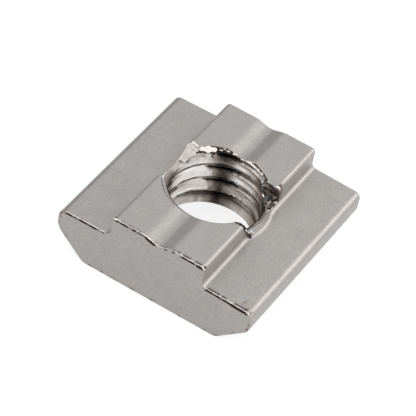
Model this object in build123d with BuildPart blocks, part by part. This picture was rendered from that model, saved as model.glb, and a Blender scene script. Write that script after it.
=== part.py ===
from build123d import *
import math
import os

# A sliding nut for the T-slot of an aluminium profile.
# It is one length of rolled bar, sheared off and tapped through its middle.
# X runs across the slot, Y along it and Z up, out of the slot's mouth.
# The origin is on the bore's axis, in the flat underside.

# Driving sizes, in millimetres
nut_length = 15.4           # along the slot
nut_width = 15.8            # across the two flanges
nut_height = 5.6            # underside to the top of the boss
flange_height = 3.88        # underside to the flange, where it meets the boss
flange_fall = 0.1           # drop of each flange from the boss to its outer edge
boss_width = 7.5            # the rib that stands in the slot's mouth

bevel_width = 2.4           # slope under each flange, across
bevel_height = 2.12         # the same slope, up
bevel_side_radius = 0.9     # where the slope turns into the side wall
bevel_floor_radius = 0.8    # where the slope turns into the underside

flange_edge_radius = 0.5    # outer top edge of each flange
boss_edge_radius = 0.32     # long top edges of the boss
boss_root_radius = 0.36     # corner between the boss and a flange

groove_width = 2.2          # shallow groove along the boss
groove_depth = 0.33
groove_shoulder_radius = 1.1
groove_floor_radius = 0.45

bore_diameter = 6.8         # crests of the M8 thread
top_countersink_diameter = 7.6
bottom_countersink_diameter = 7.5
countersink_angle = 90.0    # between opposite sides

# The bore is nearly as wide as the boss, and tapping has broken the thin
# wall out of each side of it, a little further along on one side.
gap_length = 4.4            # broken stretch of each boss wall, along Y
gap_shift = 0.25            # -Y on the +X side, +Y on the -X side
right_gap_floor = 3.98      # height of what is left of the wall at +X
left_gap_floor = 4.6        # and at -X

# Sizes that follow
half_width = nut_width / 2
half_boss = boss_width / 2
flange_edge_height = flange_height - flange_fall
bore_radius = bore_diameter / 2
countersink_slope = math.tan(math.radians(countersink_angle / 2))


def corners(sketch, x, y):
    """The two mirrored corners of a section at height y, x either side of the middle."""
    return [
        corner
        for corner in sketch.vertices()
        if math.isclose(abs(corner.X), x, abs_tol=1e-4) and math.isclose(corner.Y, y, abs_tol=1e-4)
    ]


with BuildPart() as t_slot_nut:
    # Section of the rolled bar, carried along the whole length
    with BuildSketch(Plane.XZ) as section:
        with BuildLine():
            Polyline(
                (0, 0),
                (half_width - bevel_width, 0),
                (half_width, bevel_height),
                (half_width, flange_edge_height),
                (half_boss, flange_height),
                (half_boss, nut_height),
                (groove_width / 2, nut_height),
                (0, nut_height - groove_depth),
            )
            mirror(about=Plane.YZ)
        make_face()
        fillet(corners(section, half_width - bevel_width, 0), bevel_floor_radius)
        fillet(corners(section, half_width, bevel_height), bevel_side_radius)
        fillet(corners(section, half_width, flange_edge_height), flange_edge_radius)
        fillet(corners(section, half_boss, flange_height), boss_root_radius)
        fillet(corners(section, half_boss, nut_height), boss_edge_radius)
        fillet(corners(section, groove_width / 2, nut_height), groove_shoulder_radius)
        fillet(corners(section, 0, nut_height - groove_depth), groove_floor_radius)
    extrude(amount=nut_length / 2, both=True)

    # Bore at the thread's crests, opened by a cone at each end
    with BuildSketch(Plane.XZ):
        with BuildLine():
            top_radius = top_countersink_diameter / 2
            top_depth = (top_radius - bore_radius) / countersink_slope
            bottom_radius = bottom_countersink_diameter / 2
            bottom_depth = (bottom_radius - bore_radius) / countersink_slope
            Polyline(
                (0, 0),
                (bottom_radius, 0),
                (bore_radius, bottom_depth),
                (bore_radius, nut_height - top_depth),
                (top_radius, nut_height),
                (0, nut_height),
                close=True,
            )
        make_face()
    revolve(axis=Axis.Z, mode=Mode.SUBTRACT)

    # Broken stretches of the boss walls, from the bore outwards
    for side, gap_floor in ((1, right_gap_floor), (-1, left_gap_floor)):
        with BuildSketch(Plane.XY.offset(gap_floor)):
            with Locations((side * half_width / 2, -side * gap_shift)):
                Rectangle(half_width, gap_length)
        extrude(amount=nut_height - gap_floor, mode=Mode.SUBTRACT)

t_slot_nut.part.label = "t_slot_nut"

os.makedirs("parts", exist_ok=True)
export_step(t_slot_nut.part, "parts/t_slot_nut.step")
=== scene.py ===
import bmesh
import bpy
import math
import numpy as np
import types
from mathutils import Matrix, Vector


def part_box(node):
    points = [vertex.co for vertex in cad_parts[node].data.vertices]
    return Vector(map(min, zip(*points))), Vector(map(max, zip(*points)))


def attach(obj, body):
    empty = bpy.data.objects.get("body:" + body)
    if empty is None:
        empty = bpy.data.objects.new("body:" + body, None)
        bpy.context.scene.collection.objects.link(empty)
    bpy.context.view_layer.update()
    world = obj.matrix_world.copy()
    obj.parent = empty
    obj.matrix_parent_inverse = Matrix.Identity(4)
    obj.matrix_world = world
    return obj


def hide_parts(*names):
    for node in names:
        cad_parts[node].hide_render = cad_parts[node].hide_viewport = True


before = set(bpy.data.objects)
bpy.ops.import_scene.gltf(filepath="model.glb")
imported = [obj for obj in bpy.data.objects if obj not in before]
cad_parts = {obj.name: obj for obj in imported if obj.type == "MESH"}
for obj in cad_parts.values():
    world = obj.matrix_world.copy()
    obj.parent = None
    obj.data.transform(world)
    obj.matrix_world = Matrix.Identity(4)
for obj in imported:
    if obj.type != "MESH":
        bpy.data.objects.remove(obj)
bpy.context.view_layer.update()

bl_info = {
    "name": "T Slot Nut",
    "version": (1, 0, 0),
    "blender": (4, 5, 0),
    "location": "View3D > Sidebar > T Slot Nut",
    "description": "Sliding nut for a T-slot: rolled and sheared bar with a tapped hole that breaks "
                   "out of its rib",
    "category": "Object",
}

NODE = "t_slot_nut"
LOW, HIGH = (np.array(corner) * 1000.0 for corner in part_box(NODE))   # millimetres
WIDTH, LENGTH, HEIGHT = (float(size) for size in HIGH - LOW)
FRONT, BACK = -LENGTH / 2, LENGTH / 2
MM = 0.001
CIRCLE = 2 * math.pi


# ---- noise and outlines

def smooth(t):
    """Smooth step from 0 to 1 as t goes from 0 to 1."""
    t = np.clip(t, 0.0, 1.0)
    return t * t * (3 - 2 * t)


def band(v, low, high, soft):
    """1 between low and high, falling to 0 over a soft margin inside each end."""
    return smooth((v - low) / soft) * smooth((high - v) / soft)


def value_noise(u, v, seed, period=0):
    """Smooth noise from -1 to 1: random values on a unit lattice, blended with a smooth step.
    With a period it repeats along u after that many cells."""
    table = np.random.default_rng(seed).uniform(-1, 1, (256, 256))
    u0, v0 = np.floor(u), np.floor(v)
    fu, fv = smooth(u - u0), smooth(v - v0)
    a, b = u0.astype(int), u0.astype(int) + 1
    if period:
        a, b = a % period, b % period
    c, d = v0.astype(int) % 256, (v0.astype(int) + 1) % 256
    a, b = a % 256, b % 256
    low = table[a, c] * (1 - fu) + table[b, c] * fu
    high = table[a, d] * (1 - fu) + table[b, d] * fu
    return low * (1 - fv) + high * fv


def rounded_outline(corners, radii, arc_steps):
    """Closed outline with its corners turned by arcs. At each corner the arc starts and ends
    r * tan(turn / 2) from the corner, and its points turn evenly about its centre."""
    corners = np.array(corners, float)
    runs = []
    for i, (corner, radius) in enumerate(zip(corners, radii)):
        before, after = corners[i - 1] - corner, corners[(i + 1) % len(corners)] - corner
        before, after = before / np.hypot(*before), after / np.hypot(*after)
        half = 0.5 * math.acos(float(np.clip(before @ after, -1, 1)))
        reach = radius / math.tan(half)
        centre = corner + (before + after) / np.hypot(*(before + after)) * radius / math.sin(half)
        start, end = corner + before * reach - centre, corner + after * reach - centre
        a0 = math.atan2(start[1], start[0])
        turn = (math.atan2(end[1], end[0]) - a0 + math.pi) % CIRCLE - math.pi
        a = a0 + turn * np.linspace(0, 1, arc_steps)
        runs.append(centre + radius * np.stack([np.cos(a), np.sin(a)], 1))
    return np.concatenate(runs)


def divided(outline, pitch):
    """The closed outline with each run longer than its pitch cut into even lengths.
    pitch gives the length at a point, from its place."""
    nxt = np.roll(outline, -1, 0)
    parts = []
    for a, b in zip(outline, nxt):
        n = max(1, int(math.ceil(np.hypot(*(b - a)) / pitch(0.5 * (a + b)))))
        parts.append(a + (b - a) * (np.arange(n) / n)[:, None])
    return np.concatenate(parts)


def outward(outline):
    """Unit normals of a closed outline that runs clockwise seen from the front: the step from the
    point before to the point after, turned a quarter circle to the left."""
    t = np.roll(outline, -1, 0) - np.roll(outline, 1, 0)
    t /= np.hypot(t[:, 0], t[:, 1])[:, None]
    return np.stack([-t[:, 1], t[:, 0]], 1)


# ---- meshes

def lattice_faces(rows, columns):
    """Quads between neighbouring rows of a lattice whose columns close on themselves."""
    i, j = np.meshgrid(np.arange(rows - 1), np.arange(columns), indexing="ij")
    k = (j + 1) % columns
    quads = [i * columns + j, i * columns + k, (i + 1) * columns + k, (i + 1) * columns + j]
    return np.stack(quads, -1).reshape(-1, 4)


def tube_faces(rows, columns, first=0):
    """Faces of a tube of closed rows, with a flat face at each end, from its first point's number."""
    faces = (lattice_faces(rows, columns) + first).tolist()
    faces.append(list(range(first, first + columns))[::-1])
    faces.append(list(range(first + (rows - 1) * columns, first + rows * columns)))
    return faces


def mesh_object(name, points, faces):
    """Mesh object from points in millimetres."""
    mesh = bpy.data.meshes.new(name)
    mesh.from_pydata((np.asarray(points) * MM).tolist(), [], faces)
    mesh.validate()
    mesh.update()
    ob = bpy.data.objects.new(name, mesh)
    bpy.context.scene.collection.objects.link(ob)
    return ob


def solid_from_rows(name, rows):
    """Mesh object of a tube of closed rows, in millimetres, capped at its two ends by flat faces."""
    rows = np.asarray(rows, float)
    return mesh_object(name, rows.reshape(-1, 3), tube_faces(*rows.shape[:2]))


def recalculate(ob):
    """Turns every face of a closed mesh outwards."""
    b = bmesh.new()
    b.from_mesh(ob.data)
    bmesh.ops.recalc_face_normals(b, faces=b.faces)
    b.to_mesh(ob.data)
    b.free()


def faced(ob, materials, used):
    """Gives a mesh its materials, all its faces the one used, and turns its faces outwards."""
    for material in materials:
        ob.data.materials.append(material)
    ob.data.polygons.foreach_set("material_index", np.full(len(ob.data.polygons), used, np.int32))
    recalculate(ob)
    return ob


def cut_away(ob, tool):
    """Takes the tool's solid out of ob and removes the tool."""
    m = ob.modifiers.new("cut", "BOOLEAN")
    m.operation = "DIFFERENCE"
    m.solver = "EXACT"
    m.object = tool
    bpy.context.view_layer.update()
    done = bpy.data.meshes.new_from_object(ob.evaluated_get(bpy.context.evaluated_depsgraph_get()))
    ob.modifiers.clear()
    old = ob.data
    ob.data = done
    bpy.data.meshes.remove(old)
    bpy.data.objects.remove(tool)


def read(items, name, kind, width=1):
    """One value of all of a mesh's points, corners or faces, as an array, in rows where it is wide."""
    values = np.empty(len(items) * width, kind)
    items.foreach_get(name, values)
    return values.reshape(-1, width) if width > 1 else values


def in_fixed_order(ob):
    """Numbers a mesh's points by their places and its faces by their corners, because a cut numbers
    them anew each time. Each face keeps its first corner."""
    old = ob.data
    points = read(old.vertices, "co", np.float32, 3)
    order = np.lexsort(points.T)
    number = np.empty_like(order)
    number[order] = np.arange(len(order))
    corners = number[read(old.loops, "vertex_index", np.int32)]
    ends = np.cumsum(read(old.polygons, "loop_total", np.int32))
    faces = [face.tolist() for face in np.split(corners, ends[:-1])]
    face_order = sorted(range(len(faces)), key=faces.__getitem__)
    mesh = bpy.data.meshes.new(ob.name)
    mesh.from_pydata(points[order].tolist(), [], [faces[i] for i in face_order])
    for material in old.materials:
        mesh.materials.append(material)
    used = read(old.polygons, "material_index", np.int32)
    mesh.polygons.foreach_set("material_index", used[face_order])
    ob.data = mesh
    bpy.data.meshes.remove(old)


def check_closed(ob):
    """Stops the operator if a cut has left the mesh open."""
    b = bmesh.new()
    b.from_mesh(ob.data)
    open_edges = sum(1 for e in b.edges if not e.is_manifold)
    b.free()
    if open_edges:
        raise RuntimeError(f"{ob.name} has {open_edges} open edges")


# ---- the nut's surfaces

# Radii at the section's corners, in millimetres: underside to bevel, bevel to side, side to flange.
LEFT_RADII, RIGHT_RADII = [0.8, 1.3, 0.55], [0.8, 0.9, 0.5]
GROOVE_EDGE_RADIUS, GROOVE_VALLEY_RADIUS = 1.5, 1.3

# The two torn windows, seen from the side: places along Y and heights, in millimetres.
RIGHT_WINDOW = [(-2.4, 6.3), (-2.37, 5.6), (-2.12, 5.14), (-1.6, 4.5), (-1.3, 4.07), (1.35, 4.06),
                (1.75, 4.22), (2.3, 4.38), (2.45, 4.65), (2.34, 5.2), (2.27, 5.6), (2.3, 6.3)]
LEFT_WINDOW = [(-2.1, 6.3), (-2.05, 5.0), (-1.6, 4.62), (1.0, 4.65), (1.9, 5.1), (2.25, 5.6), (2.3, 6.3)]
WINDOW_START, WINDOW_END = 2.203, 5.2   # from inside the hole to outside the rib's wall

# The thread is placed by a groove whose upper edge has this height, in millimetres, at this angle.
GROOVE_HEIGHT, GROOVE_ANGLE = 2.72, 110.0

RIB_SIDE = 3.72   # what lies on the rib ends this far from its middle, just inside its walls


def section(p):
    """The bar's section as a closed outline, clockwise seen from the front, its corners turned by arcs
    and its upper side cut finer than the rest: places across, heights and outward normals."""
    w, b, g = WIDTH / 2, p.rib_width / 2, p.groove_width / 2
    top, flange = HEIGHT, p.flange_height
    edge = flange - p.flange_fall
    right = [(w - p.bevel_width, 0), (w, p.bevel_height), (w, edge), (b, flange), (b, top), (g, top)]
    shared = [p.root_radius, p.rib_edge_radius, GROOVE_EDGE_RADIUS]
    corners = [(-x, z) for x, z in right] + [(p.groove_shift, top - p.groove_depth)] + right[::-1]
    radii = LEFT_RADII + shared + [GROOVE_VALLEY_RADIUS] + (RIGHT_RADII + shared)[::-1]
    outline = divided(rounded_outline(corners, radii, 9), lambda at: 0.07 if at[1] > 3.3 else 0.14)
    return outline[:, 0], outline[:, 1], outward(outline)


def bar_rows(p):
    """Rolled bar: its section, carried along Y. Towards the back end every section shrinks along its
    own normals by a quarter circle, which rolls the edge over. The front end keeps its edge, and the
    upper edge is drawn up into a thin torn lip with a hollow under it."""
    x, z, n = section(p)
    roll = p.roll_radius
    torn = smooth((n[:, 1] - 0.2) / 0.5) * (z > 3.0) * burr_strength(x)
    jag = value_noise(x * 13 + 90, x * 0 + 7, 12)

    def ring(y, inset):
        """The section at a place along the bar, moved inwards along its normals."""
        return np.stack([x - n[:, 0] * inset, np.full_like(x, y), z - n[:, 1] * inset], 1)

    # front face: rings that step inwards, the upper ones drawn back into the hollow under the lip
    rows = []
    tall = hollow_height(x)
    steps = ((1.25, 0.0), (1.0, 0.0), (0.93, 0.0), (0.8, 0.03), (0.6, 0.1), (0.4, 0.12), (0.2, 0.03))
    for share, deep in steps:
        row = ring(FRONT, tall * share)
        row[:, 1] += torn * deep * (0.8 + 0.3 * jag)
        rows.append(row)
    # sides, in short steps behind the front edge and round the rolled one
    near_front = FRONT + np.array([0, 0.015, 0.04, 0.07, 0.11, 0.16, 0.24, 0.4])
    rolled = BACK - roll + roll * np.sin(np.linspace(0, math.pi / 2, 6))
    middle = np.arange(FRONT + 0.7, BACK - 0.5, 0.42)
    along = np.concatenate([near_front, middle, [BACK - roll - 0.15], rolled])
    for y in along:
        rounding = roll - math.sqrt(max(roll ** 2 - (y - BACK + roll) ** 2, 0)) if y > BACK - roll else 0.0
        row = ring(y, rounding)
        near = math.exp(-(y - FRONT) / 0.06)
        row[:, 2] += torn * (0.022 + 0.018 * jag) * near
        row[:, 1] -= torn * (0.018 + 0.008 * jag) * near
        rows.append(bulge(row, p))
    return np.array(rows + [ring(BACK, roll + inset) for inset in (0.008, 0.016)])


def burr_strength(x):
    """How strongly shearing has torn the front upper edge at each place across it, 0 to 1."""
    rib = 0.65 + 0.35 * thick_burr(x)
    left = 0.55 * smooth((x + 7.45) / 0.2) * smooth((-4.15 - x) / 0.2)
    right = smooth((x - 3.95) / 0.2) * smooth((7.75 - x) / 0.15) * (0.6 + 0.4 * thick_burr(x))
    return np.where(np.abs(x) < RIB_SIDE, rib, np.where(x < 0, left, right))


def thick_burr(x):
    """Places across the front edge where the burr is thick, 0 to 1."""
    groove = smooth((x + 1.1) / 0.2) * smooth((-0.2 - x) / 0.15)
    corner = smooth((x - 3.0) / 0.2) * smooth((3.75 - x) / 0.1)
    flange = smooth((x - 5.9) / 0.4) * smooth((7.6 - x) / 0.1)
    return np.maximum.reduce([groove, corner, flange])


def hollow_height(x):
    """Height of the hollow under the front lip."""
    return 0.19 + 0.06 * thick_burr(x)


def bulge(ring, p):
    """Moves the foot of the rib's right wall outwards beside the hole, where the tap has swollen it:
    by what a circle about the bore reaches past the wall, fading out over the flange."""
    x, y, z = ring[:, 0], ring[:, 1], ring[:, 2]
    wall = p.rib_width / 2
    reach = np.sqrt(np.maximum(p.swell_radius ** 2 - (y + 0.15) ** 2, 0))
    push = np.maximum(reach - wall, 0)
    fade = 1 - smooth((x - wall - p.root_radius) / 1.2)
    ring[:, 0] += push * fade * (x > wall - 0.05) * smooth((z - 3.4) / 0.2) * smooth((4.9 - z) / 0.5)
    return ring


def lip_tear(theta, z):
    """How far the crests' lower edges wander up and down, in millimetres: slow noise round the hole,
    and teeth that are largest at the back."""
    turns = theta / CIRCLE
    back = 1 + 1.6 * np.exp(-((np.degrees(theta) - 92) / 16) ** 2)
    slow = value_noise(turns * 30, z * 0.8 + 9, 5, 30)
    return 0.035 * slow + 0.022 * back * value_noise(turns * 120, z * 1.7 + 50, 4, 120)


def tap_tool(p):
    """Tool for the thread, on a lattice whose rows climb with the helix, so that the crests' edges are
    lines of the mesh: height = (turn - a / 2 pi + start) * pitch and radius = crest + (half opening - |c|)
    / tan 30 in a groove, c being the place along the axis from the groove's centre."""
    columns, turns = 320, 7
    half, crest = p.groove_opening / 2, p.pitch - p.groove_opening
    in_groove = half * np.array([-1, -0.9, -0.65, -0.4, -0.18, 0, 0.18, 0.4, 0.65, 0.9, 1])
    on_crest = half + crest * np.array([0.04, 0.09, 0.16, 0.28, 0.42, 0.58, 0.74, 0.86, 0.95])
    c = np.concatenate([in_groove, on_crest])
    per_turn = len(c)
    low = math.floor(-1.4 / p.pitch - p.start)
    turn = (np.arange(turns)[:, None] + 0.5 + low + c[None] / p.pitch).ravel()
    place = np.tile(c, turns)[:, None]
    a = np.linspace(0, CIRCLE, columns, endpoint=False)[None]
    theta = (-p.hand * a) % CIRCLE
    z = (turn[:, None] - a / CIRCLE + p.start) * p.pitch
    deg = np.degrees(theta)
    # the turns fade out above the foot and in a bare patch under the mouth, and are shallow on the left
    bare = smooth((z - 4.45) / 0.06) * smooth((deg - 116) / 12) * smooth((228 - deg) / 8)
    depth = np.clip((half - np.abs(place)) / math.tan(math.radians(30)), 0, p.thread_depth)
    depth = depth * smooth((z - 0.8) / 0.1) * (1 - bare) * (1 - 0.55 * band(deg, 124, 208, 14))
    shake = value_noise(theta / CIRCLE * 48, z * 2.2 + 20, 3, 48)
    r = p.crest_radius + depth + 0.010 * shake - 0.03 * np.exp(-((place - half - 0.07) / 0.05) ** 2)
    z = z + lip_tear(theta, z) * np.exp(-((place - half) / 0.10) ** 2)
    points = np.stack([r * np.cos(theta), r * np.sin(theta), z], -1).reshape(-1, 3)
    rows = len(turn)
    index = np.arange(rows * columns).reshape(rows, columns)
    inner = np.stack([index[:-1, :-1], index[:-1, 1:], index[1:, 1:], index[1:, :-1]], -1).reshape(-1, 4)
    # the last column meets the first one turn lower
    left, right = index[per_turn:, -1], index[:-per_turn, 0]
    seam = np.stack([left[:-1], right[:-1], right[1:], left[1:]], -1)
    bottom = np.concatenate([index[0], index[1:per_turn + 1, -1]])
    top = np.concatenate([index[-1], index[rows - 1 - per_turn:rows - 1, 0]])
    hubs = np.array([[0, 0, points[end, 2].mean()] for end in (bottom, top)])
    faces = inner.tolist() + seam.tolist()
    for hub, end in enumerate((bottom, top), len(points)):
        faces += np.stack([end, np.roll(end, -1), np.full_like(end, hub)], -1).tolist()
    return mesh_object("tap", np.concatenate([points, hubs]), faces)


def turned_tool(name, rows, offset, columns=233):
    """Tool turned about the hole's axis: each row gives a radius and a height at every angle. The
    offset angle keeps its columns off the thread's columns, so that no edges of the two tools meet."""
    theta = np.linspace(0, CIRCLE, columns, endpoint=False) + offset
    pairs = [np.broadcast_arrays(radius, height, theta)[:2] for radius, height in rows(theta % CIRCLE)]
    return solid_from_rows(name, [np.stack([r * np.cos(theta), r * np.sin(theta), h], -1) for r, h in pairs])


def mouth_rows(theta, p):
    """The hole's mouth: a steep edge and then a slope down to the thread, on a circle that lies a
    little to the front of the axis."""
    wear = 0.02 * value_noise(theta / CIRCLE * 40, theta * 0 + 5, 8, 40)
    m = p.mouth_radius - p.mouth_shift * np.sin(theta) + wear
    foot = np.minimum(m - 0.45, 3.4)
    slope = [((m + 0.05) * (1 - t) + (m - 0.18) * t, HEIGHT - 0.05 - 0.25 * t) for t in (0, 0.35, 0.7)]
    slope += [((m - 0.18) * (1 - t) + foot * t, HEIGHT - 0.3 - 0.32 * t) for t in (0, 0.3, 0.6, 0.8, 1)]
    return [(m + 0.15, HEIGHT + 0.4), (m + 0.15, HEIGHT + 0.02)] + slope + [(0.4 * m, HEIGHT - 0.64)]


def foot_rows(theta):
    """The hole's foot: a small bevel at the underside and a wall that leans out to a ledge under the
    lowest turn."""
    shake = 0.015 * value_noise(theta / CIRCLE * 60, theta * 0 + 15, 9, 60)
    bevel = [(1.0, -0.4), (3.9, -0.4), (3.72, -0.02), (3.40, 0.2), (3.42, 0.35)]
    wall = [(3.48 + shake, 0.6), (3.62 + shake, 0.95), (3.68 + shake, 1.08)]
    return bevel + wall + [(3.40, 1.18 + shake), (1.0, 1.2)]


def left_lip_rows(theta):
    """Slope at the left window: the wall's broken edge, pressed outwards between two angles."""
    deg = np.degrees(theta)
    flare = smooth((deg - 150) / 14) * smooth((211 - deg) / 8)
    return [(1.0, 4.28), (3.36, 4.28), (3.40 + 0.05 * flare, 4.34), (3.36 + 0.48 * flare, 4.68), (1.0, 4.7)]


def break_rows(outline, x0, x1, seed, rough):
    """Tool for a torn window: its outline seen from the side, carried along X with each point
    shaken in the outline's plane by noise, by rough(y)."""
    outline = divided(np.array(outline, float), lambda at: 0.08)
    y, z = outline[:, 0], outline[:, 1]
    step = np.hypot(*(np.roll(outline, -1, 0) - outline).T)
    s = (np.cumsum(step) - step) / 0.16
    amount = rough(y)
    rows = []
    for x in np.arange(x0, x1, 0.08):
        across = np.full_like(s, x * 6 + 30)
        dy = amount * value_noise(s, across, seed)
        dz = amount * value_noise(s + 77, across, seed + 1)
        rows.append(np.stack([np.full_like(y, x), y + dy, z + dz], 1))
    return np.array(rows)


def right_shake(y):
    """How rough the right window's rim is, in millimetres: ragged at its back end, less at its front."""
    return 0.006 + 0.08 * smooth((y - 1.2) / 0.3) + 0.03 * smooth((-1.5 - y) / 0.3)


def left_shake(y):
    """How rough the left window's rim is, in millimetres: a little at its back end."""
    return 0.006 + 0.03 * smooth((y - 1.5) / 0.4)


def top_of_bar(x, p):
    """Height of the bar's upper side at each place across it."""
    w, b, g = WIDTH / 2, p.rib_width / 2, p.groove_width / 2
    flange = p.flange_height - p.flange_fall * np.clip((np.abs(x) - b) / (w - b), 0, 1)
    groove = p.groove_depth * np.clip(1 - np.abs(x - p.groove_shift) / g, 0, 1)
    return np.where(np.abs(x) < b, HEIGHT - groove, flange)


# ---- marks: painted shade, painted highlights and painted dark reflections, with rust and stains

# Lower edge of the dark band under the mouth: angles round the hole and heights in millimetres.
DARK_BAND_EDGE = [(84, 5.4), (88, 5.24), (100, 5.12), (112, 4.92), (124, 4.95), (136, 5.04), (146, 5.12),
              (152, 5.5)]


# Rust specks: place and radius, in millimetres.
RUST = [
    (-7.25, -7.7, 3.72, 0.10), (-7.45, -7.7, 3.45, 0.12), (-7.7, -7.7, 3.1, 0.09), (-7.85, -7.7, 2.5, 0.08),
    (-4.9, -7.7, 0.05, 0.10), (-3.2, -7.7, 0.04, 0.08), (-1.5, -7.7, 0.04, 0.07), (0.2, -7.7, 0.05, 0.10),
    (2.6, -7.7, 0.04, 0.09), (4.6, -7.7, 0.04, 0.09), (5.6, -7.7, 0.06, 0.15), (5.9, -7.7, 0.2, 0.10),
    (7.7, -7.7, 2.3, 0.12), (7.8, -7.7, 2.75, 0.08), (7.3, -7.45, 3.82, 0.10), (7.75, -7.2, 3.7, 0.08),
    (6.85, -7.0, 3.84, 0.06), (6.3, -7.25, 3.86, 0.05), (7.45, -6.7, 3.8, 0.06), (5.7, -7.1, 3.88, 0.05),
    (-7.72, -7.68, 3.5, 0.13), (-7.82, -7.6, 3.25, 0.11), (-7.5, -7.7, 3.62, 0.08), (-7.85, -7.62, 2.9, 0.08),
]


def layer(dark, bright, brown):
    """Three marks at each place, as three rows."""
    return np.stack(np.broadcast_arrays(dark, bright, brown))


def marks_at(xyz, p):
    """Three marks at each place, each 0 to 1: dark for painted shade, painted dark reflections and dark
    marks, bright for painted highlights and sheared metal, and brown for rust specks, stains and the warm
    tint of painted shade. Where layers meet, the strongest mark counts."""
    x, y, z = xyz[:, 0], xyz[:, 1], xyz[:, 2]
    r, theta = np.hypot(x, y), np.arctan2(y, x) % CIRCLE
    deg = np.degrees(theta)
    up = top_of_bar(x, p) - z
    beside = np.abs(y) < 2.5
    broken = (x < -2.2) & (z > 4.3) & beside & (r > 3.52) | (x > 2.2) & (z > 3.93) & beside
    inside = (r < 4.0) & (z > 0.01) & (up > 0.03) & ~broken
    layers = [
        np.where(inside, hole_marks(deg, z, theta, p), 0.0),
        right_window_marks(x, y, z, r, deg),
        left_window_marks(x, y, z, r),
        front_marks(x, y - FRONT, up),
        mouth_marks(x, z, r, theta, up, p),
        rust_marks(xyz),
    ]
    return np.clip(np.maximum.reduce(layers), 0, 1).T


def hole_marks(deg, z, theta, p):
    """Marks on the tapped wall, by the angle round it and the height: painted shade along the turns, a
    painted dark reflection down the back with dull films beside it, a dark ragged band under the mouth with
    bare teeth in it, and painted highlights on the crests on both sides of the dark reflection, on the left
    lip and on the back wall under the mouth. Brown lies where a dark mark thins out, a warm edge to the
    painted shade."""
    turn = z / p.pitch - p.hand * theta / CIRCLE - p.start
    c = ((turn % 1.0) - 0.5) * p.pitch
    half = p.groove_opening / 2
    slow = value_noise(deg / 5.0, z * 2.5 + 30, 41)
    fine = value_noise(deg / 1.8 + 60, z * 7 + 90, 42)
    streak = value_noise(deg / 2.4 + 20, z * 0.9 + 60, 49)
    turned = (z > 1.2) & (z < HEIGHT - 0.58)
    # painted shade: dark lines along the turns, where the crests shade the roots
    lines = [line * turned for line in thread_lines(deg, z, c, half, half + lip_tear(theta, z), slow, fine)]
    dark_band = smooth((z - np.interp(deg, *zip(*DARK_BAND_EDGE)) - 0.06 * fine) / 0.05)
    tooth = smooth((streak - 0.5) / 0.12) * dark_band * smooth((5.36 - z) / 0.1) * (deg < 122)
    dark = np.maximum.reduce(lines + dark_reflection_and_films(deg, z, slow, fine, streak) + [dark_band * (0.96 + 0.04 * fine)])
    dark = dark * (1 - 0.7 * tooth)
    # painted highlights: crests lit on both sides of the painted dark reflection, the left lip and the back
    # wall under the mouth
    crest = band(c, half + 0.04, p.pitch - half - 0.14 + 0.06 * fine, 0.08) * turned
    right, left = band(deg, 63, 102, 5) * (z > 2.5), band(deg, 116, 168, 8) * (z > 2.4)
    bright = np.maximum.reduce([
        crest * (0.45 * right + 0.28 * left),
        0.55 * band(deg, 143, 170, 7) * band(z, 4.2, 4.9, 0.12),
        0.30 * band(deg, 76, 98, 7) * band(z, 4.3, 5.2, 0.12),
    ])
    # brown also tints the painted shade lines and fringes the dark marks where they thin out
    brown = 0.55 * smooth((slow + 0.3) / 0.4) * lines[0] * (deg > 122) + 0.35 * sum(lines) * (deg < 90)
    brown = brown + 0.20 * smooth((74 - deg) / 22) + 0.10 * (z < 1.3)
    brown = brown + 0.30 * smooth((deg - 164) / 12) * (z < 4.3) * smooth((fine + 0.4) / 0.5)
    stain = 0.6 * band(deg, 68, 84, 4) * band(z, 1.7, 2.3, 0.2) * smooth(fine / 0.3)
    return layer(dark, bright, np.maximum(brown, stain) + 1.9 * dark * (1 - dark) + 0.1 * dark)


def thread_lines(deg, z, c, half, edge, slow, fine):
    """Painted shade along the turns, by the place c along the axis from a groove's centre: a bell-shaped line
    of painted shade at each crest's lower edge, thick and black at the back, where a painted dark
    reflection fills the groove beside it, and a fainter bell-shaped line of painted shade at the groove's
    other side."""
    back = band(deg, 86 + 5 * slow, 130 + 4 * slow, 15)
    # painted shade under each crest's lower edge
    line = np.exp(-((c - edge + 0.02) / (0.045 + 0.05 * back)) ** 2) * (0.50 + 0.45 * back + 0.12 * fine)
    line = line * (1 - 0.5 * (z < 1.85) * band(deg, 40, 98, 10))
    # painted dark reflection: the groove darkened at the back
    full = 0.94 * back + 0.20 * band(deg, 35, 92, 12) * (z > 1.85)
    groove = full * band(c, -half - 0.08 - 0.05 * slow, half + 0.04, 0.06)
    seam = 0.55 * band(deg, 40, 126, 14) * np.exp(-((c + half + 0.10) / 0.08) ** 2)
    return [line, groove, seam]


def dark_reflection_and_films(deg, z, slow, fine, streak):
    """Dark marks beside the turns: a painted dark reflection down the back, spreading into a foot at the
    bottom and drips under the dark band, dull films at both sides and a dull belt round the lower crest."""
    # painted dark reflection: a band down the back of the bore, through every turn
    run = (0.96 + 0.04 * fine) * np.exp(-np.abs((deg - 110 - 3 * slow - 2 * streak) / 12.0) ** 2.6)
    run = run * (1 - 0.25 * band(z, 4.15, 4.5, 0.12))
    foot = 0.15 + 0.64 * np.exp(-np.abs((deg - 110 - 4 * slow) / 16.0) ** 2.2) + 0.06 * slow
    drips = 0.70 * band(deg, 97, 128, 8) * smooth((z - 4.55 - 0.3 * streak) / 0.2)
    right = 0.14 * smooth((86 - deg) / 12) + 0.26 * smooth((68 - deg) / 22) + 0.25 * smooth((50 - deg) / 12)
    left = 0.62 * smooth((deg - 174) / 10) * (z < 4.6)
    belt = (0.10 + 0.24 * band(deg, 78, 104, 7)) * band(z, 1.65, 2.4, 0.12) * (deg < 176) * (deg > 40)
    return [run, foot * (z < 1.3), drips, right * (z < HEIGHT - 0.5) + left + belt]


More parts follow.
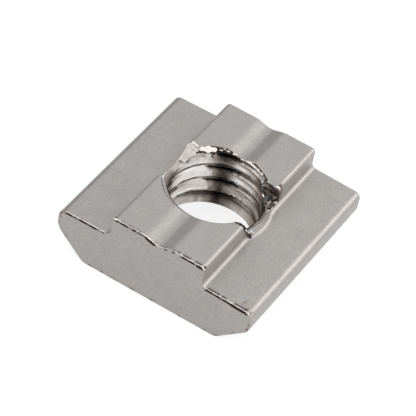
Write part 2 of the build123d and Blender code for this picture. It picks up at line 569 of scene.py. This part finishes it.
def right_window_marks(x, y, z, r, deg):
    """Right window: painted shade, dark, over the torn metal in the cavity at its back end, with bright and
    brown patches of noise.
    """
    wander = value_noise(deg / 4.0, z * 5 + 30, 41)
    grain = value_noise(deg / 1.6 + 60, z * 9 + 90, 42)
    patch = value_noise(x * 7 + 11, z * 7 + y * 5 + 40, 43)
    torn = (x > 2.3) & (r > 3.2) & (z < HEIGHT - 0.02) & (y < 2.7)
    torn = torn * smooth((y - 1.35 - 0.15 * wander) / 0.15) * smooth((z - 4.07) / 0.05)
    # painted shade in the torn cavity
    dark = np.clip(0.84 + 0.30 * grain - 0.8 * smooth((patch - 0.3) / 0.15), 0, 1)
    bright = 0.8 * smooth((patch - 0.45) / 0.12) * (y < 2.2)
    return layer(torn * dark, torn * bright, torn * 0.6 * smooth(patch / 0.5))


def left_window_marks(x, y, z, r):
    """Left window: a slope pressed smooth, and a torn facet at its back end."""
    slope = (x < -2.4) & (np.abs(y) < 2.2) & (z > 4.30) & (z < 4.72) & (r > 3.38) & (r < 4.0)
    facet = (x < -2.4) & (y > 1.0) & (y < 2.6) & (z > 4.72) & (z < HEIGHT - 0.02) & (r > 3.35)
    return layer(0.10 * slope + 0.12 * facet, 0.0, 0.12 * slope + 0.24 * facet)


def front_marks(x, behind, up):
    """Front edge, by the places behind the front face and under the bar's upper side: painted shade, black,
    in the hollow under the lip, a painted highlight in white on its sheared edge, and a broken line of
    painted shade behind it, which is longer and wider on the right."""
    torn = burr_strength(x) > 0.1
    dash = value_noise(x * 5 + 20, x * 0 + 3, 44)
    gap = value_noise(x * 9 + 50, x * 0 + 8, 45)
    plain = smooth((x + 0.2) / 0.1) * smooth((1.7 - x) / 0.2)
    # painted shade: black in the hollow under the lip
    hollow = np.clip(1.1 + 0.6 * thick_burr(x) + 0.9 * dash - 0.7 * plain, 0, 1) * torn
    hollow = hollow * smooth((up - 0.02) / 0.04) * smooth((hollow_height(x) * 1.18 - up) / 0.03)
    hollow = hollow * (behind < 0.25) * (np.abs(x) < 7.75)
    # painted highlight, white, along the sheared edge
    sheared = np.clip(0.8 + 0.7 * gap, 0, 1) * torn * (up > -0.15)
    sheared = sheared * smooth((0.08 - behind) / 0.03) * smooth((0.06 - up) / 0.03)
    right = x > 1.5
    # painted shade: a broken dark line behind the edge
    broken = smooth((value_noise(x * 4 + 70, x * 0 + 2, 50) + 0.15 + 0.35 * right) / 0.2)
    broken = broken * band(behind, 0.06, 0.17 + 0.08 * right, 0.03) * (np.abs(up) < 0.04)
    broken = broken * ((np.abs(x) < 3.4) | (x > 4.2) & (x < 7.4)) * (0.85 + 0.1 * right)
    return layer(np.maximum(hollow, broken), sheared, 0.0)


def mouth_marks(x, z, r, theta, up, p):
    """Mouth of the hole: a painted highlight on the slope, strongest at the right, over a brown edge there
    that is also darker, and two painted dark reflections on its edges at the front."""
    reach = p.mouth_radius - p.mouth_shift * np.sin(theta) + 0.08
    mouth = (r < reach) & (z > HEIGHT - 0.66) & (up > 0.03) & (np.abs(x) < RIB_SIDE)
    deg = np.degrees(theta)
    near, far = smooth((deg - 176) / 8) * smooth((338 - deg) / 10), band(deg, 22, 90, 6)
    upper, lower = np.abs(z - HEIGHT + 0.05) < 0.045, np.abs(z - HEIGHT + 0.56) < 0.09
    # painted dark reflections on the mouth's edges; painted highlights on its slope below
    dark = 0.97 * near * (upper | lower) + 0.5 * far * lower
    bright = np.maximum(0.2 + 0.65 * far, 0.4 * near * (z > HEIGHT - 0.4))
    return layer(mouth * dark, mouth * bright, mouth * 0.9 * far * lower)


def rust_marks(xyz):
    """Rust: specks that fade like a bell with the distance from their places, and fine patches of
    noise along the front face's edges."""
    at = np.array(RUST)
    away = np.sqrt(((xyz[:, None] - at[None, :, :3]) ** 2).sum(-1))
    specks = np.exp(-(away / (1.2 * at[None, :, 3])) ** 2).max(1)
    x, y, z = xyz[:, 0], xyz[:, 1], xyz[:, 2]
    patch = smooth((value_noise(x * 3.1 + 40, z * 3.1 + 60, 46) - 0.42) / 0.25)
    return layer(0.0, 0.0, np.maximum(specks, 0.55 * patch * (y - FRONT < 0.12) * (z < 3.7)))


def store_marks(ob, p):
    """Stores the marks at each of the mesh's points. The two flat ends are one face each, and a mark
    on their rims would run across them, so their rims have none."""
    mesh = ob.data
    marks = marks_at(read(mesh.vertices, "co", float, 3) / MM, p)
    for end in np.nonzero(read(mesh.polygons, "loop_total", np.int32) > 100)[0]:
        marks[list(mesh.polygons[int(end)].vertices)] = 0
    attach_marks(mesh, marks)


def attach_marks(mesh, marks):
    """Stores three marks for each point, which the materials read."""
    attribute = mesh.attributes.new("marks", "FLOAT_VECTOR", "POINT")
    attribute.data.foreach_set("vector", np.asarray(marks, np.float32).ravel())


# ---- flakes and crumbs

# Flakes and drops: start, middle and end of the curve, direction across it, half width, half thickness,
# number of lobes, and how dark (painted shadow on the dark burrs at the windows). Millimetres.
FLAKES = [
    # two-lobed flake bent over the back of the mouth, and the bar of metal left of it
    ((-2.86, 2.22, 5.44), (-2.32, 2.58, 5.44), (-1.78, 2.96, 5.42), (-0.50, 0.60, 0.55), 0.27, 0.05, 2, 0.0),
    ((-3.60, 2.38, 5.58), (-3.26, 2.30, 5.60), (-2.90, 2.20, 5.54), (0.3, 0.9, 0.1), 0.07, 0.05, 1, 0.0),
    ((-3.50, 2.28, 5.52), (-3.22, 2.20, 5.53), (-2.94, 2.12, 5.48), (0.3, 0.9, 0.1), 0.05, 0.04, 1, 0.45),
    # speckled crumbs along the back of the mouth
    ((-1.80, 3.08, 5.52), (-1.66, 3.12, 5.55), (-1.54, 3.18, 5.52), (0, 0.6, 0.6), 0.06, 0.04, 1, 0.9),
    ((-1.64, 2.98, 5.48), (-1.52, 3.04, 5.50), (-1.40, 3.10, 5.46), (0, 0.6, 0.6), 0.05, 0.04, 1, 0.1),
    ((-1.46, 3.20, 5.53), (-1.36, 3.24, 5.56), (-1.26, 3.28, 5.52), (0, 0.6, 0.6), 0.05, 0.04, 1, 0.1),
    ((-1.38, 3.10, 5.46), (-1.28, 3.15, 5.48), (-1.16, 3.18, 5.44), (0, 0.6, 0.6), 0.05, 0.04, 1, 0.95),
    ((-1.20, 3.22, 5.48), (-1.06, 3.27, 5.51), (-0.92, 3.30, 5.46), (0, 0.6, 0.6), 0.06, 0.04, 1, 0.2),
    ((-0.96, 3.36, 5.50), (-0.84, 3.38, 5.50), (-0.74, 3.40, 5.46), (0, 0.6, 0.6), 0.05, 0.04, 1, 0.95),
    ((-0.72, 3.32, 5.42), (-0.56, 3.37, 5.46), (-0.42, 3.38, 5.40), (0, 0.5, 0.8), 0.07, 0.05, 1, 0.0),
    ((-0.36, 3.36, 5.30), (-0.26, 3.38, 5.34), (-0.16, 3.38, 5.30), (0, 0.5, 0.8), 0.05, 0.04, 1, 0.85),
    ((-0.06, 3.34, 5.30), (0.10, 3.37, 5.36), (0.26, 3.37, 5.30), (0, 0.5, 0.8), 0.05, 0.04, 1, 0.05),
    # right window: torn rim at the back painted dark as shade, white burr at its corner, chips on the torn
    # floor
    ((2.42, 2.27, 5.58), (2.90, 2.24, 5.61), (3.36, 2.28, 5.57), (0, 1, 0.3), 0.04, 0.04, 1, 0.95),
    ((3.34, 2.30, 5.56), (3.66, 2.32, 5.36), (3.77, 2.36, 4.90), (0, 1, 0.2), 0.05, 0.04, 1, 0.95),
    ((3.74, 2.36, 4.95), (3.78, 2.42, 4.60), (3.80, 2.46, 4.25), (0.3, 1, 0), 0.05, 0.04, 1, 0.9),
    ((3.42, 2.36, 5.58), (3.62, 2.44, 5.50), (3.76, 2.50, 5.22), (0.3, 1, 0.3), 0.10, 0.05, 1, 0.0),
    ((3.56, 2.16, 4.22), (3.70, 2.24, 4.26), (3.84, 2.30, 4.16), (0, 1, 0.5), 0.09, 0.05, 1, 0.0),
    ((2.58, 2.30, 4.34), (2.70, 2.22, 4.36), (2.84, 2.12, 4.28), (0.5, 0.6, 0.6), 0.07, 0.04, 1, 0.0),
    ((3.62, 1.20, 4.10), (3.72, 1.50, 4.14), (3.78, 1.84, 4.18), (1, 0, 0.3), 0.07, 0.04, 1, 0.15),
    # right window's front corner: burr standing on the edge painted dark as its shadow, white strip on it,
    # chip at its foot
    ((2.98, -2.52, 5.58), (3.20, -2.53, 5.61), (3.42, -2.51, 5.60), (0, 1, 0), 0.06, 0.035, 1, 0.95),
    ((3.22, -2.50, 5.60), (3.60, -2.46, 5.54), (3.81, -2.30, 5.24), (0, 1, 0.2), 0.11, 0.04, 1, 0.97),
    ((3.77, -2.40, 5.38), (3.83, -2.16, 5.02), (3.86, -1.82, 4.58), (0, 1, 0.6), 0.12, 0.04, 1, 0.97),
    ((3.82, -1.96, 4.72), (3.90, -1.68, 4.36), (4.00, -1.46, 4.02), (0, 1, 0.6), 0.10, 0.04, 1, 0.94),
    ((3.82, -2.38, 5.26), (3.91, -2.10, 4.90), (3.98, -1.74, 4.46), (0, 1, 0.6), 0.06, 0.04, 1, 0.0),
    ((3.90, -1.74, 4.28), (4.00, -1.60, 4.06), (4.06, -1.54, 3.92), (0, 1, 0.6), 0.10, 0.05, 1, 0.92),
    ((3.88, -1.66, 4.50), (4.00, -1.42, 4.28), (4.12, -1.22, 4.04), (0.4, 1, 0.2), 0.12, 0.05, 1, 0.05),
    # corners of the sheared front edge
    ((-3.70, -7.67, 5.48), (-3.58, -7.68, 5.56), (-3.36, -7.68, 5.58), (0, 0.4, 1), 0.05, 0.04, 1, 0.0),
    ((3.50, -7.68, 5.57), (3.64, -7.68, 5.53), (3.73, -7.68, 5.38), (0, 0.4, 1), 0.05, 0.04, 1, 0.0),
    ((7.36, -7.68, 3.76), (7.54, -7.68, 3.72), (7.70, -7.68, 3.60), (0, 0.4, 1), 0.05, 0.04, 1, 0.0),
]


def sliver(start, middle, end, across, half_width, half_thickness, lobes, seed):
    """Closed flake of torn metal: an ellipse carried along a curve through three points, wide along
    one direction and thin along the other, drawn in to a point at both ends and pinched between lobes."""
    start, middle, end, across = (np.array(a, float) for a in (start, middle, end, across))
    u = np.linspace(0, 1, 19)[:, None]
    control = 2 * middle - 0.5 * (start + end)
    path = (1 - u) ** 2 * start + 2 * u * (1 - u) * control + u ** 2 * end
    tangent = 2 * (1 - u) * (control - start) + 2 * u * (end - control)
    tangent /= np.linalg.norm(tangent, axis=1)[:, None]
    wide = across - (tangent @ across)[:, None] * tangent
    wide /= np.linalg.norm(wide, axis=1)[:, None]
    thin = np.cross(tangent, wide)
    pinch = 1 - 0.15 * (1 - np.cos(CIRCLE * lobes * u)) * (lobes > 1)
    shape = np.clip(1 - (2 * u - 1) ** 4, 0, 1) ** 0.7 * pinch
    shape = np.clip(shape * (1 + 0.14 * value_noise(u * 6 + seed * 3, u * 0 + seed, 61)), 0.02, None)
    a = np.linspace(0, CIRCLE, 14, endpoint=False)
    rough = 1 + 0.14 * value_noise(u * 7 + seed, a[None, :] * 14 / CIRCLE * 0.5 + 0 * u, seed + 60)
    widths = wide[:, None] * np.cos(a)[None, :, None] * half_width
    thicknesses = thin[:, None] * np.sin(a)[None, :, None] * half_thickness
    return path[:, None] + (widths + thicknesses) * (shape * rough)[..., None]


# ---- materials

# Colours of the marks: brown for rust and the warm tint of painted shade, white for painted highlights and
# sheared metal, black for painted shade, painted dark reflections and dark marks.
RUST_AND_SHADE_BROWN, HIGHLIGHT_AND_SHEARED_WHITE = (0.17, 0.09, 0.045, 1), (0.92, 0.90, 0.88, 1)
SHADE_AND_DARK_MARK_BLACK = (0.022, 0.012, 0.007, 1)


def shader(name, base, rough, metallic=1.0):
    """New material with a principled shader, returned with its nodes and links."""
    m = bpy.data.materials.new(name)
    m.use_nodes = True
    nodes, links = m.node_tree.nodes, m.node_tree.links
    s = nodes["Principled BSDF"]
    s.inputs["Base Color"].default_value = (*base, 1)
    s.inputs["Metallic"].default_value = metallic
    s.inputs["Roughness"].default_value = rough
    return m, nodes, links, s


def node(nodes, kind, **values):
    """New node with its settings and sockets set by name."""
    n = nodes.new(kind)
    for key, value in values.items():
        if hasattr(n, key):
            setattr(n, key, value)
        else:
            n.inputs[key.replace("_", " ")].default_value = value
    return n


def marked(nodes, links, shade, target):
    """Mixes a surface's colour by the mesh's marks towards brown for rust and the warm tint of painted shade,
    white for painted highlights and sheared metal, and black for painted shade, painted dark reflections
    and dark marks. A Mix node's colours are its inputs 6 and 7 and its output 2."""
    marks = node(nodes, "ShaderNodeAttribute", attribute_name="marks")
    parts = nodes.new("ShaderNodeSeparateXYZ")
    links.new(marks.outputs["Vector"], parts.inputs[0])
    for part, colour in (("Z", RUST_AND_SHADE_BROWN), ("Y", HIGHLIGHT_AND_SHEARED_WHITE), ("X", SHADE_AND_DARK_MARK_BLACK)):
        mix = node(nodes, "ShaderNodeMix", data_type="RGBA")
        links.new(parts.outputs[part], mix.inputs["Factor"])
        links.new(shade, mix.inputs[6])
        mix.inputs[7].default_value = colour
        shade = mix.outputs[2]
    links.new(shade, target)


def noise(nodes, links, place, scale, detail, roughness):
    """Grey level of a noise texture at a place."""
    texture = node(nodes, "ShaderNodeTexNoise", Scale=scale, Detail=detail, Roughness=roughness)
    links.new(place, texture.inputs["Vector"])
    return texture.outputs["Fac"]


def graded(nodes, links, level, low, high, dark, light):
    """Colour that goes from dark to light as a grey level goes from low to high."""
    ramp = nodes.new("ShaderNodeValToRGB")
    for stop, position, colour in zip(ramp.color_ramp.elements, (low, high), (dark, light)):
        stop.position = position
        stop.color = (*colour, 1)
    links.new(level, ramp.inputs["Fac"])
    return ramp.outputs["Color"]


def bumped(nodes, links, level, s, strength, distance):
    """Bumps on a shader's surface from a grey level, their depth in metres."""
    bump = node(nodes, "ShaderNodeBump", Strength=strength, Distance=distance)
    links.new(level, bump.inputs["Height"])
    links.new(bump.outputs["Normal"], s.inputs["Normal"])


def satin_plate(colour):
    """Satin nickel plate: fine mottling of colour and gloss over a grain of shallow pits."""
    m, nodes, links, s = shader("satin nickel plate", colour, 0.42, 0.75)
    place = nodes.new("ShaderNodeTexCoord").outputs["Object"]
    fine = noise(nodes, links, place, 7500.0, 4.0, 0.65)
    broad = noise(nodes, links, place, 900.0, 2.0, 0.55)
    both = node(nodes, "ShaderNodeMix", Factor=0.22)
    links.new(fine, both.inputs["A"])
    links.new(broad, both.inputs["B"])
    plate = np.array(colour)
    shade = graded(nodes, links, both.outputs[0], 0.28, 0.72, plate * 0.8, plate * 1.2)
    marked(nodes, links, shade, s.inputs["Base Color"])
    gloss = node(nodes, "ShaderNodeMapRange", To_Min=0.36, To_Max=0.48)
    links.new(fine, gloss.inputs["Value"])
    links.new(gloss.outputs["Result"], s.inputs["Roughness"])
    bumped(nodes, links, fine, s, 0.25, 0.00001)
    return m


def cut_steel_painted_lighter(colour):
    """Plated thread: brighter and glossier than the bar, its colour painted lighter than the plate to stand
    in for light on the thread, the hole's foot and the left window, with tap marks round the hole.
    """
    m, nodes, links, s = shader("cut thread painted lighter", colour, 0.24)
    smear = node(nodes, "ShaderNodeMapping", Scale=(1.0, 1.0, 3.0))
    links.new(nodes.new("ShaderNodeTexCoord").outputs["Object"], smear.inputs["Vector"])
    tapped = noise(nodes, links, smear.outputs["Vector"], 1800.0, 3.0, 0.6)
    steel = np.array(colour)
    shade = graded(nodes, links, tapped, 0.3, 0.65, steel * 0.84, steel * 1.05)
    marked(nodes, links, shade, s.inputs["Base Color"])
    bumped(nodes, links, tapped, s, 0.3, 0.00002)
    return m


def torn_steel(colour):
    """Torn metal: bright and faceted by coarse bumps, with warmer hollows."""
    m, nodes, links, s = shader("torn steel", colour, 0.3)
    lumps = noise(nodes, links, nodes.new("ShaderNodeTexCoord").outputs["Object"], 6000.0, 2.0, 0.6)
    shade = graded(nodes, links, lumps, 0.3, 0.6, np.array(colour) * (0.74, 0.70, 0.65), colour)
    marked(nodes, links, shade, s.inputs["Base Color"])
    bumped(nodes, links, lumps, s, 0.5, 0.00003)
    return m


def white_floor():
    """Floor that shows white to the camera and in reflections, and still takes a soft shadow."""
    m = bpy.data.materials.new("white floor")
    m.use_nodes = True
    nodes, links = m.node_tree.nodes, m.node_tree.links
    nodes.clear()
    path = nodes.new("ShaderNodeLightPath")
    seen = node(nodes, "ShaderNodeMath", operation="ADD")
    links.new(path.outputs["Is Camera Ray"], seen.inputs[0])
    links.new(path.outputs["Is Glossy Ray"], seen.inputs[1])
    lit = node(nodes, "ShaderNodeMath", operation="ADD", use_clamp=True)
    links.new(seen.outputs[0], lit.inputs[0])
    links.new(path.outputs["Is Transmission Ray"], lit.inputs[1])
    level = node(nodes, "ShaderNodeMapRange", To_Max=0.78)
    links.new(lit.outputs[0], level.inputs["Value"])
    glow = node(nodes, "ShaderNodeEmission", Color=(1, 1, 1, 1))
    links.new(level.outputs["Result"], glow.inputs["Strength"])
    diffuse = node(nodes, "ShaderNodeBsdfDiffuse", Color=(0.3, 0.3, 0.3, 1))
    both = nodes.new("ShaderNodeAddShader")
    links.new(diffuse.outputs[0], both.inputs[0])
    links.new(glow.outputs[0], both.inputs[1])
    links.new(both.outputs[0], nodes.new("ShaderNodeOutputMaterial").inputs["Surface"])
    return m


# ---- the stage

# Camera: place in metres, turn in degrees, and focal length in millimetres on a 36 mm sensor.
CAMERA_PLACE, CAMERA_TURN, CAMERA_LENS = (0.05476, -0.12745, 0.13811), (45.115, -8.539, 31.771), 237.34

# Floor: half its width, and how far it lies under the nut, in metres.
FLOOR_REACH, FLOOR_DROP = 0.6, 0.00001


def direction(azimuth, elevation):
    """Unit vector towards an azimuth and an elevation in degrees."""
    a, e = math.radians(azimuth), math.radians(elevation)
    return math.cos(e) * math.cos(a), math.cos(e) * math.sin(a), math.sin(e)


def flat_floor():
    """Square floor under the nut: an even grid of points at one height, four squares each way."""
    points = 5
    g = np.linspace(-FLOOR_REACH, FLOOR_REACH, points)
    x, y = np.meshgrid(g, g)
    i, j = np.meshgrid(np.arange(points - 1), np.arange(points - 1), indexing="ij")
    first = i * points + j
    quads = np.stack([first, first + 1, first + points + 1, first + points], -1).reshape(-1, 4)
    floor = mesh_object("floor", np.stack([x, y, 0 * x - FLOOR_DROP], -1).reshape(-1, 3) / MM, quads.tolist())
    floor.data.materials.append(white_floor())


def studio_walls():
    """World seen as the studio's walls: white to the camera, and for the light a plain pale level with
    one darker side, behind the nut to the left, as where a studio's wall has no screen."""
    world = bpy.data.worlds.new("studio")
    bpy.context.scene.world = world
    world.use_nodes = True
    nodes, links = world.node_tree.nodes, world.node_tree.links
    side = node(nodes, "ShaderNodeVectorMath", operation="DOT_PRODUCT")
    side.inputs[1].default_value = direction(144, 12)
    links.new(nodes.new("ShaderNodeTexCoord").outputs["Generated"], side.inputs[0])
    level = node(nodes, "ShaderNodeMapRange", interpolation_type="SMOOTHSTEP",
                 From_Min=0.82, From_Max=0.97, To_Min=1.05, To_Max=0.2)
    links.new(side.outputs["Value"], level.inputs["Value"])
    strength = node(nodes, "ShaderNodeMix", B=1.0)
    links.new(nodes.new("ShaderNodeLightPath").outputs["Is Camera Ray"], strength.inputs["Factor"])
    links.new(level.outputs["Result"], strength.inputs["A"])
    links.new(strength.outputs["Result"], nodes["Background"].inputs["Strength"])
    nodes["Background"].inputs["Color"].default_value = (1, 1, 1, 1)


def lamp(name, azimuth, elevation, distance, size, radiance):
    """Square softbox that faces the nut from an azimuth and elevation in degrees. Its power gives the
    stated radiance: power = radiance times pi times area."""
    light = bpy.data.lights.new(name, "AREA")
    light.shape = "SQUARE"
    light.size = size
    light.energy = radiance * math.pi * size ** 2
    ob = bpy.data.objects.new(name, light)
    ob.location = [distance * part for part in direction(azimuth, elevation)]
    ob.rotation_euler = (math.pi / 2 - math.radians(elevation), 0, math.radians(azimuth) + math.pi / 2)
    bpy.context.scene.collection.objects.link(ob)


def camera():
    """Camera that looks down at the nut's front end from the right."""
    cam = bpy.data.cameras.new("camera")
    cam.lens = CAMERA_LENS
    cam.sensor_width = 36
    cam.clip_start = 0.01
    ob = bpy.data.objects.new("camera", cam)
    ob.location = CAMERA_PLACE
    ob.rotation_euler = [math.radians(a) for a in CAMERA_TURN]
    bpy.context.scene.collection.objects.link(ob)
    bpy.context.scene.camera = ob


# ---- the add-on

class NutSizes(bpy.types.PropertyGroup):
    """Sizes of the nut and its colours."""
    rib_width: bpy.props.FloatProperty(
        name="Rib width", description="Across the rib",
        default=0.0075, min=0.004, precision=5, subtype="DISTANCE")
    flange_height: bpy.props.FloatProperty(
        name="Flange height", description="Underside to the flange",
        default=0.00388, precision=5, subtype="DISTANCE")
    flange_fall: bpy.props.FloatProperty(
        name="Flange fall", description="Drop of the flange outwards",
        default=0.0001, precision=5, subtype="DISTANCE")
    bevel_width: bpy.props.FloatProperty(
        name="Bevel width", description="Slope under the flange, across",
        default=0.0024, precision=5, subtype="DISTANCE")
    bevel_height: bpy.props.FloatProperty(
        name="Bevel height", description="Slope under the flange, up",
        default=0.00212, precision=5, subtype="DISTANCE")
    root_radius: bpy.props.FloatProperty(
        name="Root radius", description="Between rib and flange",
        default=0.00036, precision=5, subtype="DISTANCE")
    rib_edge_radius: bpy.props.FloatProperty(
        name="Rib edge radius", description="Long edges of the rib",
        default=0.00032, precision=5, subtype="DISTANCE")
    groove_width: bpy.props.FloatProperty(
        name="Groove width", description="Groove along the rib",
        default=0.0022, precision=5, subtype="DISTANCE")
    groove_depth: bpy.props.FloatProperty(
        name="Groove depth", description="Groove along the rib",
        default=0.00033, precision=5, subtype="DISTANCE")
    groove_shift: bpy.props.FloatProperty(
        name="Groove shift", description="Groove's valley off the middle",
        default=-0.00005, precision=5, subtype="DISTANCE")
    roll_radius: bpy.props.FloatProperty(
        name="Roll radius", description="Edge rolled over at the back end",
        default=0.00028, precision=5, subtype="DISTANCE")
    crest_radius: bpy.props.FloatProperty(
        name="Crest radius", description="Hole's radius at the crests",
        default=0.00344, precision=5, subtype="DISTANCE")
    thread_depth: bpy.props.FloatProperty(
        name="Thread depth", description="Crest to root", default=0.00042, precision=5, subtype="DISTANCE")
    groove_opening: bpy.props.FloatProperty(
        name="Thread opening", description="Groove's mouth along the axis",
        default=0.0005, precision=5, subtype="DISTANCE")
    pitch: bpy.props.FloatProperty(
        name="Pitch", description="Rise of one turn",
        default=0.00125, min=0.0002, precision=5, subtype="DISTANCE")
    left_handed: bpy.props.BoolProperty(
        name="Left-handed", description="Thread's turns rise the other way round", default=True)
    mouth_radius: bpy.props.FloatProperty(
        name="Mouth radius", description="Hole's mouth, on average",
        default=0.00375, precision=5, subtype="DISTANCE")
    mouth_shift: bpy.props.FloatProperty(
        name="Mouth shift", description="Mouth off the hole's axis, to the front",
        default=0.0002, precision=5, subtype="DISTANCE")
    swell_radius: bpy.props.FloatProperty(
        name="Swell radius", description="Swollen foot of the rib beside the hole",
        default=0.0041, precision=5, subtype="DISTANCE")
    plate_colour: bpy.props.FloatVectorProperty(
        name="Plate", description="Satin plated faces",
        subtype="COLOR", default=(0.385, 0.366, 0.352))
    # the thread's colour, painted lighter than the plate to stand in for light
    cut_colour_painted_lighter: bpy.props.FloatVectorProperty(
        name="Cut", description="Plated thread and torn metal",
        subtype="COLOR", default=(0.84, 0.81, 0.79))
    torn_colour: bpy.props.FloatVectorProperty(
        name="Torn", description="Flakes and burrs",
        subtype="COLOR", default=(0.95, 0.92, 0.9))


def in_millimetres(sizes):
    """The property group's values as plain numbers, with its lengths in millimetres, and with the
    thread's hand and the height in turns at which its grooves start."""
    values = {}
    for key, prop in sizes.bl_rna.properties.items():
        if key not in ("rna_type", "name"):
            value = getattr(sizes, key)
            values[key] = round(value / MM, 4) if prop.type == "FLOAT" and prop.unit == "LENGTH" else value
    p = types.SimpleNamespace(**values)
    p.hand = -1 if p.left_handed else 1
    p.start = (GROOVE_HEIGHT - p.groove_opening / 2) / p.pitch - p.hand * GROOVE_ANGLE / 360.0 - 0.5
    return p


class NUT_OT_nut(bpy.types.Operator):
    """Makes the nut: the bar's section along Y, less the tap's turns and the two torn windows"""
    bl_idname = "t_slot_nut.nut"
    bl_label = "Nut"

    def execute(self, context):
        p = in_millimetres(context.scene.t_slot_nut)
        materials = [satin_plate(p.plate_colour), cut_steel_painted_lighter(p.cut_colour_painted_lighter)]
        plate, cut = 0, 1
        nut = faced(solid_from_rows("nut", bar_rows(p)), materials, plate)
        right = break_rows(RIGHT_WINDOW, WINDOW_START, WINDOW_END, 21, right_shake)
        left = break_rows(LEFT_WINDOW, -WINDOW_END, -WINDOW_START, 31, left_shake)
        # the thread, the hole's foot and the left window take the cut steel, painted lighter
        tools = [
            (turned_tool("foot", foot_rows, 0.0063), cut),
            (turned_tool("mouth", lambda theta: mouth_rows(theta, p), 0.0037), plate),
            (turned_tool("left lip", left_lip_rows, 0.0085), plate),
            (solid_from_rows("right break", right), plate),
            (solid_from_rows("left break", left), cut),
            (tap_tool(p), cut),
        ]
        for tool, surface in tools:
            cut_away(nut, faced(tool, materials, surface))
        in_fixed_order(nut)
        check_closed(nut)
        nut.data.shade_smooth()
        nut.data.set_sharp_from_angle(angle=math.radians(32))
        store_marks(nut, p)
        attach(nut, "root")
        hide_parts(NODE)
        nut.name = "nut"
        return {"FINISHED"}


class NUT_OT_burrs(bpy.types.Operator):
    """Makes the flakes and drops of metal that tapping and shearing left on the edges"""
    bl_idname = "t_slot_nut.burrs"
    bl_label = "Burrs"

    def execute(self, context):
        points, faces, marks = [], [], []
        for seed, (*shape, dark) in enumerate(FLAKES):
            rows = sliver(*shape, seed)
            faces += tube_faces(*rows.shape[:2], len(marks))
            points.append(rows.reshape(-1, 3))
            # a flake's darkness goes to the black and brown marks: painted shadow on the dark burrs
            marks += [(dark, 0.0, 0.3 * dark)] * len(points[-1])
        burrs = mesh_object("burrs", np.concatenate(points), faces)
        burrs.data.materials.append(torn_steel(context.scene.t_slot_nut.torn_colour))
        attach_marks(burrs.data, marks)
        recalculate(burrs)
        burrs.data.shade_smooth()
        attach(burrs, "root")
        return {"FINISHED"}


class NUT_OT_stage(bpy.types.Operator):
    """Makes the floor, the lamps and the camera"""
    bl_idname = "t_slot_nut.stage"
    bl_label = "Stage"

    def execute(self, context):
        flat_floor()
        studio_walls()
        lamp("back right box", azimuth=52, elevation=33, distance=0.5, size=0.32, radiance=1.9)
        lamp("front left box", azimuth=205, elevation=35, distance=0.5, size=0.30, radiance=1.2)
        camera()
        context.scene.view_settings.view_transform = "Standard"
        return {"FINISHED"}


class NUT_PT_panel(bpy.types.Panel):
    """Lists the nut's pieces and sizes"""
    bl_label = "T Slot Nut"
    bl_idname = "NUT_PT_panel"
    bl_space_type = "VIEW_3D"
    bl_region_type = "UI"
    bl_category = "T Slot Nut"

    def draw(self, context):
        p = context.scene.t_slot_nut
        for key in p.bl_rna.properties.keys():
            if key not in ("rna_type", "name"):
                self.layout.prop(p, key)
        self.layout.operator("t_slot_nut.nut")
        self.layout.operator("t_slot_nut.burrs")
        self.layout.operator("t_slot_nut.stage")


CLASSES = (NutSizes, NUT_OT_nut, NUT_OT_burrs, NUT_OT_stage, NUT_PT_panel)


def register():
    for c in CLASSES:
        bpy.utils.register_class(c)
    bpy.types.Scene.t_slot_nut = bpy.props.PointerProperty(type=NutSizes)


def unregister():
    del bpy.types.Scene.t_slot_nut
    for c in reversed(CLASSES):
        bpy.utils.unregister_class(c)


def main():
    register()
    bpy.ops.t_slot_nut.nut()
    bpy.ops.t_slot_nut.burrs()
    bpy.ops.t_slot_nut.stage()


if __name__ == "__main__":
    main()
